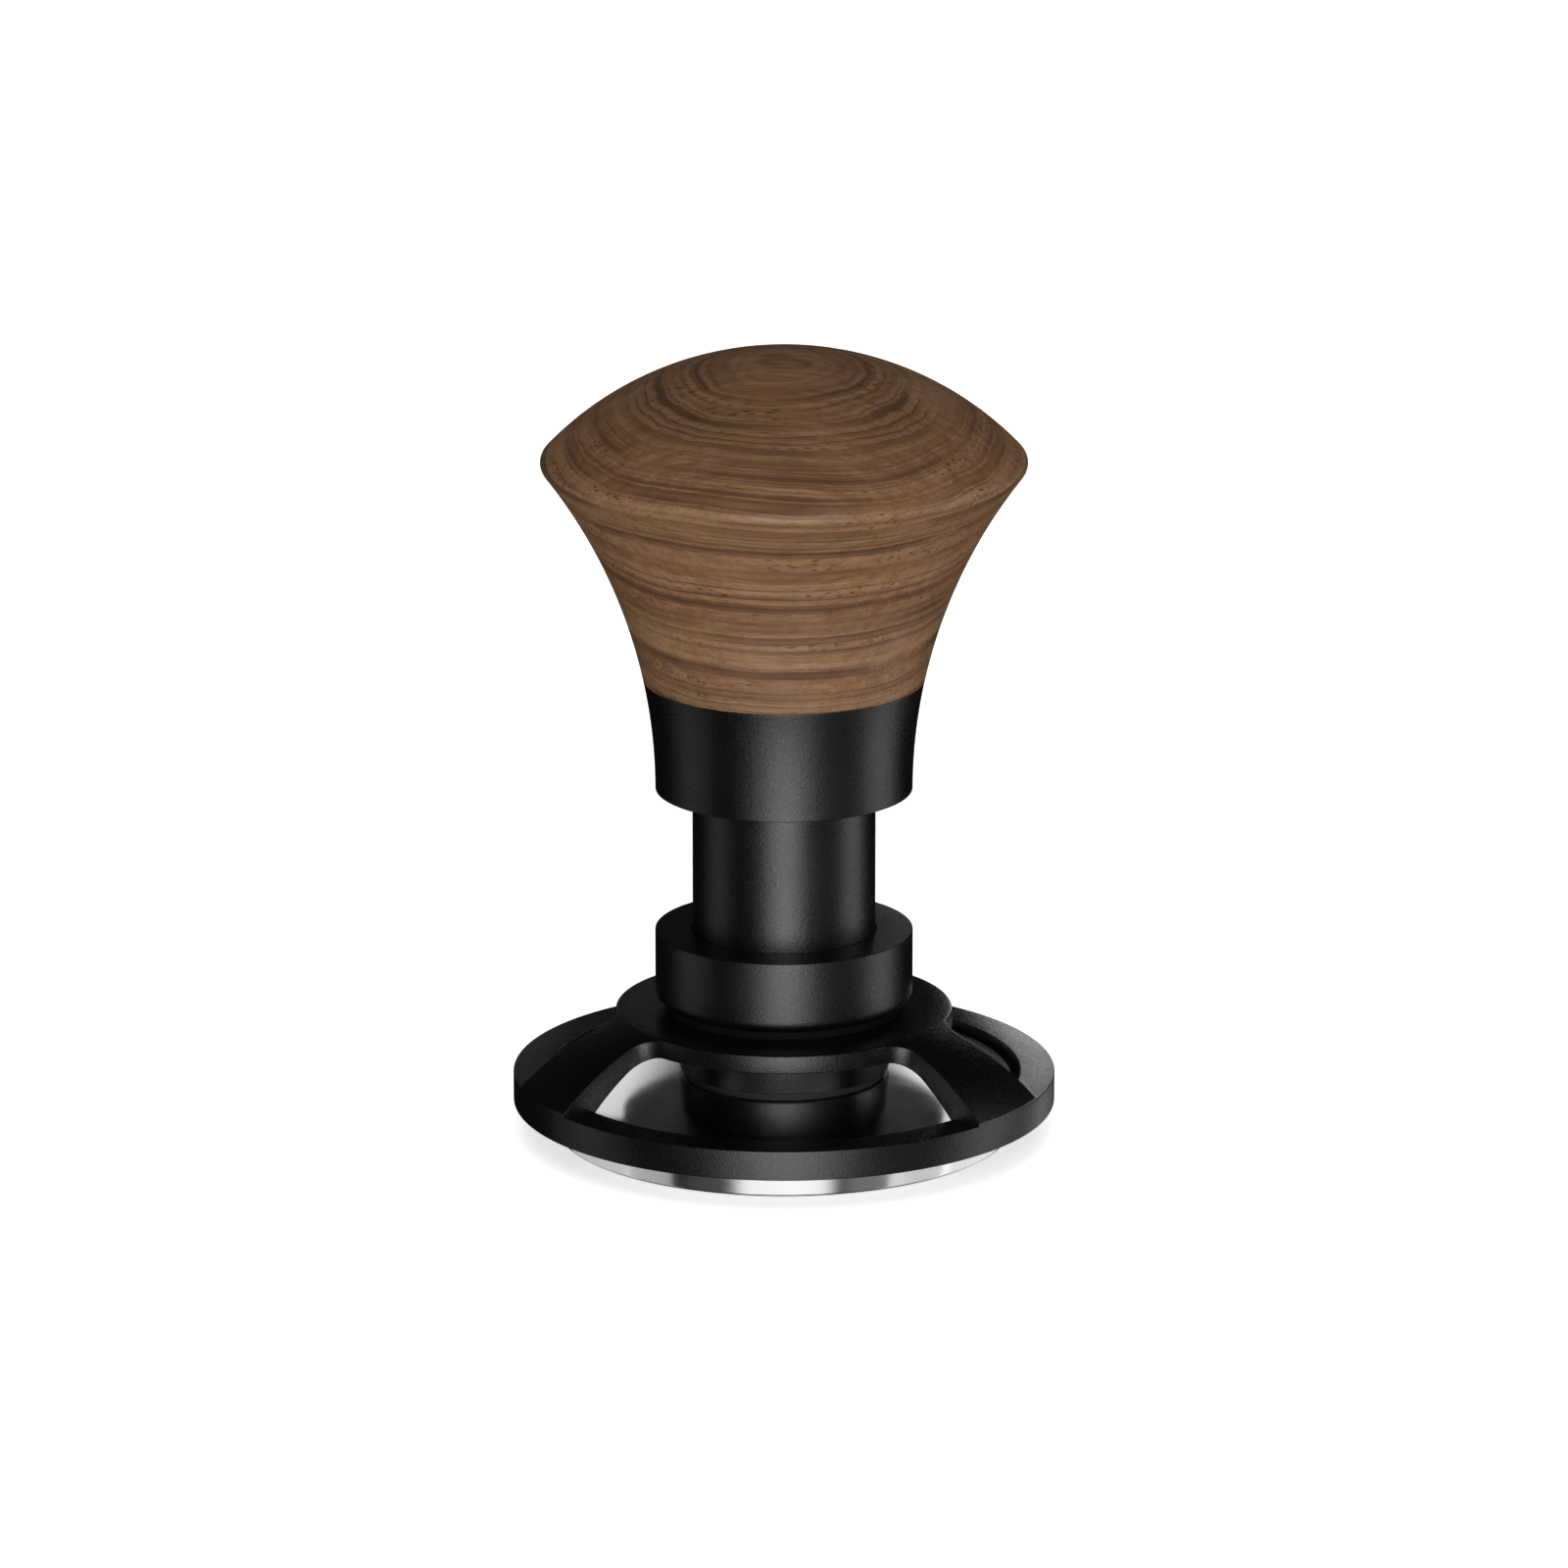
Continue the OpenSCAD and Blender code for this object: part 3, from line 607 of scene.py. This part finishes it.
def walnut(name):
    """Walnut turned across the grain: the layers lie level, with dark late wood, streaks and pores."""
    made, n, shader = new_material(name, Specular_IOR_Level=0.25)
    coords, (x, y, z) = n.object_xyz()
    # Height above the layers: level planes, tilted a little and gently waved
    slow = n.noise(n.join(n.math("MULTIPLY", x, 0.6), y, n.math("MULTIPLY", z, 1.5)), 38.0, 2.0, 0.45)
    ripple = n.noise(n.join(n.math("MULTIPLY", x, 0.30), y, z), 260.0, 3.0, 0.6)
    layer = n.math("ADD", z, n.math("MULTIPLY", x, 0.015))
    layer = n.math("ADD", layer, n.math("MULTIPLY", y, -0.10))
    layer = n.math("ADD", layer, n.math("MULTIPLY", n.math("SUBTRACT", slow, 0.5), 0.0030))
    layer = n.math("ADD", layer, n.math("MULTIPLY", n.math("SUBTRACT", ripple, 0.5), 0.0005))

    # Late wood: thin dark lines of uneven spacing and weight where slow noise crosses its middle
    def lines(scale, width, seed):
        wave = n.noise(n.math("ADD", layer, seed), scale, 2.0, 0.55, dimensions="1D")
        return n.remap(n.math("ABSOLUTE", n.math("SUBTRACT", wave, 0.5)), width, 0.0), wave

    weight = n.noise(n.join(n.math("MULTIPLY", x, 0.4), y, n.math("MULTIPLY", layer, 4.0)), 90.0, 2.0, 0.5)
    patchy = n.remap(weight, 0.32, 0.62, 0.25, 1.0)
    broad, tone = lines(330.0, 0.11, 0.0)
    sharp, _ = lines(330.0, 0.028, 0.0)
    thin, _ = lines(760.0, 0.040, 0.3)
    finest, _ = lines(1900.0, 0.07, 0.7)
    # Fibres run along X
    fibre = n.noise(n.join(n.math("MULTIPLY", x, 0.045), y, layer), 4600.0, 3.0, 0.7)
    streak = n.noise(n.join(n.math("MULTIPLY", x, 0.08), y, layer), 900.0, 4.0, 0.66)
    band = n.noise(layer, 110.0, 2.0, 0.6, dimensions="1D")
    colour = n.mix(n.remap(band, 0.35, 0.65), (0.195, 0.096, 0.042, 1), (0.300, 0.166, 0.081, 1))
    colour = n.mix(n.math("MULTIPLY", n.remap(streak, 0.40, 0.66), 0.42), colour, (0.375, 0.222, 0.118, 1))
    colour = n.mix(n.math("MULTIPLY", n.remap(streak, 0.50, 0.32), 0.26), colour, (0.120, 0.058, 0.027, 1))
    for wood_line, share, shade in ((broad, 0.42, (0.088, 0.042, 0.021, 1)),
                                    (sharp, 0.75, (0.040, 0.020, 0.012, 1)),
                                    (thin, 0.58, (0.060, 0.029, 0.016, 1))):
        colour = n.mix(n.math("MULTIPLY", n.math("MULTIPLY", wood_line, patchy), share), colour, shade)
    colour = n.mix(n.math("MULTIPLY", finest, 0.32), colour, (0.080, 0.039, 0.020, 1))
    colour = n.mix(n.math("MULTIPLY", n.remap(fibre, 0.50, 0.64), 0.46), colour, (0.072, 0.035, 0.018, 1))
    # Pores: short dark dashes along the fibres, gathered between the dark lines
    cells = n.add("ShaderNodeTexVoronoi", feature="F1", distance="EUCLIDEAN")
    n.put(cells.inputs["Vector"], n.join(n.math("MULTIPLY", x, 0.25), y, layer))
    n.put(cells.inputs["Scale"], 1700.0)
    dots = n.remap(cells.outputs["Distance"], 0.34, 0.16)
    groups = n.noise(n.join(n.math("MULTIPLY", x, 0.5), y, n.math("MULTIPLY", layer, 3.0)), 120.0, 2.0, 0.5)
    where = n.remap(groups, 0.40, 0.55)
    pores = n.math("MULTIPLY", dots, n.math("MULTIPLY", n.remap(tone, 0.45, 0.6), where))
    colour = n.mix(n.math("MULTIPLY", pores, 0.85), colour, (0.026, 0.013, 0.008, 1))
    n.put(shader.inputs["Base Color"], colour)
    n.put(shader.inputs["Roughness"], n.math(
        "ADD", n.remap(streak, 0.3, 0.7, 0.50, 0.42), n.math("MULTIPLY", pores, 0.2)))
    height = n.math("SUBTRACT", n.math("MULTIPLY", fibre, 0.25), n.math("MULTIPLY", pores, 1.0))
    n.put(shader.inputs["Normal"], n.bump(height, 0.35, 0.00006))
    return made


MATERIALS = {
    "polished_steel": turned_metal("polished_steel", 0.86, 0.11, 0.10),
    "turned_steel": turned_metal("turned_steel", 0.62, 0.20, 0.6),
    "plated_fastener": turned_metal("plated_fastener", 0.66, 0.26, 0.3, (1.0, 0.985, 0.95)),
    "spring_steel": turned_metal("spring_steel", 0.56, 0.24, 0.3, (1.0, 0.985, 0.96)),
    "black_anodised": blasted_black("black_anodised", 0.0017, 0.29, 0.62),
    "raw_aluminium": turned_metal("raw_aluminium", 0.72, 0.30, 0.6, (0.99, 1.0, 1.01)),
    "walnut": walnut("walnut"),
    "white_plastic": moulded("white_plastic", (0.72, 0.70, 0.66), 0.42, 0.3),
    "black_plastic": moulded("black_plastic", (0.004, 0.004, 0.004), 0.70, 0.4, 0.12),
    "black_rubber": moulded("black_rubber", (0.016, 0.016, 0.017), 0.65, 0.6),
}
for node, piece in NODES.items():
    piece.data.materials.clear()
    piece.data.materials.append(MATERIALS[SLOT_OF[node]])


def finish_of(node):
    return MATERIALS[SLOT_OF[node]]


# ---------------------------------------------------------------- the object

make_knob(finish_of("knob"))
make_collar(finish_of("handle_collar"))
tube = make_tube(finish_of("guide_tube"))
hub = make_hub(finish_of("hub_collar"))
base = make_base(finish_of("base"))
level_ring = make_level_ring(finish_of("level_ring"))

recess = make_ring_piece("clamp_washer_turned", "clamp_washer", TUBE_R, finish_of("clamp_washer"))
for name, node, bore in (
        ("bumper_washer_cut", "bumper_washer", 5.6 * MM),
        ("return_seat_turned", "return_spring_seat", 5.9 * MM),
        ("spring_washer_turned", "spring_washer", 5.0 * MM),
        ("thrust_washer_turned", "thrust_washer", 3.2 * MM),
        ("stop_damper_cut", "stop_damper", 3.2 * MM),
        ("bolt_washer_turned", "bolt_washer", 2.65 * MM),
        ("wiper_seal_moulded", "wiper_seal", 11.66 * MM),
        ("collar_bush_turned", "collar_bush", 11.66 * MM)):
    make_ring_piece(name, node, bore, finish_of(node))

make_stem(finish_of("stem"))
make_piston(finish_of("piston"))
make_ring_piece("piston_ring_turned", "piston_ring", PISTON_GROOVE_R, finish_of("piston_ring"), 0.15 * MM)

returning = make_spring("return_spring_wound", "return_spring", 7.9 * MM, 0.9 * MM, 5,
                        bottom("return_spring"), top("return_spring"), finish_of("return_spring"))
top("return_spring")
1 - LEVEL_TRAVEL / (top("return_spring") - bottom("return_spring"))
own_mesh(returning)
pressing = make_spring("main_spring_wound", "main_spring", 8.5 * MM, 2 * MM, 9,
                       bottom("main_spring"), top("main_spring"), finish_of("main_spring"))
bottom("main_spring")
1 - PRESS_TRAVEL / (top("main_spring") - bottom("main_spring"))
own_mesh(pressing)


# ---------------------------------------------------------------- camera, floor, lights, world

CAMERA_AZIMUTH = math.radians(-85.917)
CAMERA_RISE = math.radians(15.752)
CAMERA_AIM, CAMERA_DISTANCE = Vector((0, 0, 0.04519)), 1.1036
TOWARDS = Vector((math.cos(CAMERA_AZIMUTH), math.sin(CAMERA_AZIMUTH), 0))      # to the camera, level
RIGHTWARDS = Vector((-TOWARDS.y, TOWARDS.x, 0))                                # the camera's right hand
LIGHT_AIM, LIGHT_DISTANCE = Vector((0, 0, 0.045)), 1.1
CARD_BEHIND = 60 * MM

# Panels of the world: centre, half width, softness, lowest, highest (degrees), strength
PANELS = (
    (0, 18, 12, -46, 40, 1.05),
    (48, 10, 14, -50, 30, 0.17),
    (-38, 6, 10, -50, 30, 0.05),
    (180, 30, 15, 2, 34, 0.030),
    (-180, 30, 15, 2, 34, 0.030),
)
ROOM_LIGHT = 0.006
# Fills: name, azimuth and rise (degrees), size, power
FILLS = (
    ("key_panel", 4, 14, (1.5, 1.0), 11.3),
    ("bounce_panel", 0, -36, (1.4, 0.8), 6.0),
    ("right_fill", 72, 0, (0.8, 0.8), 3.4),
    ("left_fill", -72, 0, (0.8, 0.8), 3.0),
    ("top_fill", 0, 78, (0.8, 0.8), 2.2),
    ("back_fill", 180, 20, (1.2, 0.8), 4.5),
)
# Mirrored panels: name, azimuth, half width, lowest, highest (degrees), radiance
PANELS_OF_THE_REST = (
    ("front_panel", 1.5, 15, -38, 33, 3.4),
    ("right_panel", 95, 14, -42, 42, 1.6),
    ("left_panel", -90, 14, -42, 42, 0.48),
)
PANELS_OF_THE_BASE = (
    ("base_right_panel", 72, 17, -42, 10, 0.62),
    ("base_left_panel", -72, 13, -42, 10, 0.42),
    ("base_right_end_panel", 112, 23, -42, 10, 0.86),
    ("base_left_end_panel", -110, 24, -42, 10, 0.56),
    ("right_glow", 52, 22, 4, 40, 1.4),
    ("left_glow", -68, 20, 4, 40, 0.9),
)


def make_camera():
    """A long lens, a little over a metre away, that looks down on the object at its middle."""
    data = bpy.data.cameras.new("photo_view")
    data.sensor_width, data.lens = 36, 200.46
    data.clip_start, data.clip_end = 0.05, 20
    camera = bpy.data.objects.new("photo_view", data)
    back = TOWARDS * math.cos(CAMERA_RISE) + Vector((0, 0, math.sin(CAMERA_RISE)))
    camera.location = CAMERA_AIM + back * CAMERA_DISTANCE
    camera.rotation_mode = "QUATERNION"
    camera.rotation_quaternion = (-back).to_track_quat("-Z", "Y")
    bpy.context.scene.collection.objects.link(camera)
    bpy.context.scene.camera = camera


def make_floor():
    bm = bmesh.new()
    bmesh.ops.create_grid(bm, x_segments=1, y_segments=1, size=1.5)
    floor = new_object("studio_floor", bm)
    floor.location.z = -0.0002
    made, n, shader = new_material("pale_floor", Roughness=0.9)
    coords, _ = n.object_xyz()
    n.put(shader.inputs["Base Color"], n.mix(n.noise(coords, 3.0), grey(0.86), grey(0.88)))
    shader.inputs["Emission Color"].default_value = (1, 1, 1, 1)
    shader.inputs["Emission Strength"].default_value = 0.58
    floor.data.materials.append(made)
    # The object is lit as if the room went on below it, so that its walls keep clean highlights
    floor.visible_glossy = floor.visible_diffuse = floor.visible_shadow = False
    return floor


def area_light(name, azimuth, rise, size, power, distance=LIGHT_DISTANCE, glossy=False):
    """A soft box, placed by its direction from the object, measured from the camera's side to the right.

    The wide ones only fill; what the metal mirrors are the panels and the near cards."""
    data = bpy.data.lights.new(name, "AREA")
    data.shape, data.size, data.size_y = "RECTANGLE", size[0], size[1]
    data.energy = power
    light = bpy.data.objects.new(name, data)
    a, e = math.radians(azimuth), math.radians(rise)
    level = TOWARDS * math.cos(a) + RIGHTWARDS * math.sin(a)
    light.location = LIGHT_AIM + distance * (level * math.cos(e) + Vector((0, 0, math.sin(e))))
    light.rotation_euler = (LIGHT_AIM - light.location).to_track_quat("-Z", "Y").to_euler()
    light.visible_camera = False
    light.visible_glossy = glossy
    light.visible_diffuse = not glossy
    bpy.context.scene.collection.objects.link(light)
    return light


def make_world():
    """White for the camera; for the object, a dim room with tall soft panels in front and at the sides."""
    world = bpy.data.worlds.new("studio")
    bpy.context.scene.world = world
    world.cycles_visibility.diffuse = False
    world.use_nodes = True
    n = Nodes(world.node_tree)
    background = next(node for node in world.node_tree.nodes if node.type == "BACKGROUND")
    x, y, z = n.add_split(n.add("ShaderNodeTexCoord").outputs["Generated"])

    def along(axis):
        return n.math("ADD", n.math("MULTIPLY", x, axis.x), n.math("MULTIPLY", y, axis.y))

    azimuth = n.math("ARCTAN2", along(RIGHTWARDS), along(TOWARDS))
    rise = n.math("ARCSINE", z)

    def panel(centre, half_width, soft, low, high, strength):
        away = n.math("ABSOLUTE", n.math("SUBTRACT", azimuth, math.radians(centre)))
        across = n.remap(away, math.radians(half_width + soft), math.radians(half_width))
        up = n.remap(rise, math.radians(low), math.radians(low + soft))
        down = n.remap(rise, math.radians(high), math.radians(high - soft))
        return n.math("MULTIPLY", n.math("MULTIPLY", across, strength), n.math("MULTIPLY", up, down))

    light = ROOM_LIGHT
    for spec in PANELS:
        light = n.math("ADD", light, panel(*spec))
    camera_ray = n.add("ShaderNodeLightPath").outputs["Is Camera Ray"]
    n.put(background.inputs["Color"], n.mix(camera_ray, n.join(light, light, light), (1, 1, 1, 1)))
    background.inputs["Strength"].default_value = 1.0


def only(name, pieces):
    """A collection of pieces that a light is linked to."""
    group = bpy.data.collections.new(name)
    for piece in pieces:
        group.objects.link(piece)
    return group


def mirrored_panel(name, azimuth, half_width, low, high, radiance, seen_by):
    """A tall panel that the given pieces mirror and that lights nothing. Angles are in degrees."""
    size = [2 * LIGHT_DISTANCE * math.tan(math.radians(a)) for a in (half_width, (high - low) / 2)]
    power = radiance * math.pi * size[0] * size[1]
    light = area_light(name, azimuth, (low + high) / 2, size, power, glossy=True)
    light.light_linking.receiver_collection = only(name + "_lit", seen_by)


def card(name, across, height, size, radiance, seen_by, behind=CARD_BEHIND, lean=0, hidden_by=()):
    """A small bright card behind the object, facing the camera's side, which only one piece mirrors.

    Its place and size are in millimetres, and the camera's right hand is the positive side."""
    across, height = across * MM, height * MM
    size = [side * MM for side in size]
    data = bpy.data.lights.new(name, "AREA")
    data.shape, data.size, data.size_y = "RECTANGLE", size[0], size[1]
    data.energy = radiance * math.pi * size[0] * size[1]
    light = bpy.data.objects.new(name, data)
    light.location = RIGHTWARDS * across - TOWARDS * behind + Vector((0, 0, height))
    facing = TOWARDS.to_track_quat("-Z", "Y")
    light.rotation_euler = (Quaternion(TOWARDS, math.radians(lean)) @ facing).to_euler()
    light.visible_camera = light.visible_diffuse = False
    light.light_linking.receiver_collection = only(name + "_lit", [seen_by])
    if hidden_by:
        light.light_linking.blocker_collection = only(name + "_shade", hidden_by)
    bpy.context.scene.collection.objects.link(light)


floor = make_floor()
make_world()
for fill in FILLS:
    area_light(*fill)
floor_light = area_light("floor_panel", 0, 90, (4.5, 4.5), 38.0, distance=1.6)
floor_light.light_linking.receiver_collection = only("floor_lit", [floor])
# The base has panels of its own, and the recessed washer stays dark
apart = (base, floor, recess)
rest = [o for o in bpy.context.scene.objects if o.type == "MESH" and o not in apart]
for spec in PANELS_OF_THE_REST:
    mirrored_panel(*spec, rest)
for spec in PANELS_OF_THE_BASE:
    mirrored_panel(*spec, [base])
card("ring_card", 37, 21, (18, 16), 2.3, level_ring)
card("ring_left_card", -38, 21, (16, 16), 0.16, level_ring)
card("disc_left_card", -21, 33, (14, 12), 0.14, level_ring)
card("hub_card", 18, 43, (14, 14), 0.40, hub)
card("rim_card", 90, -26, (40, 38), 1.0, level_ring)
# Rows of cards, each a step further out, so that the patches on the base fade inwards
for step in range(4):
    card("left_base_card_%d" % step, -22.4 - 2.2 * step, 29, (12, 44), 0.19, base,
         lean=20, hidden_by=(tube,))
    card("right_base_card_%d" % step, 20.6 + 1.8 * step, 29, (10, 40), 0.26, base,
         lean=-24, hidden_by=(tube,))

make_camera()
bpy.context.scene.view_settings.view_transform = "Standard"
bpy.context.scene.view_settings.look = "None"
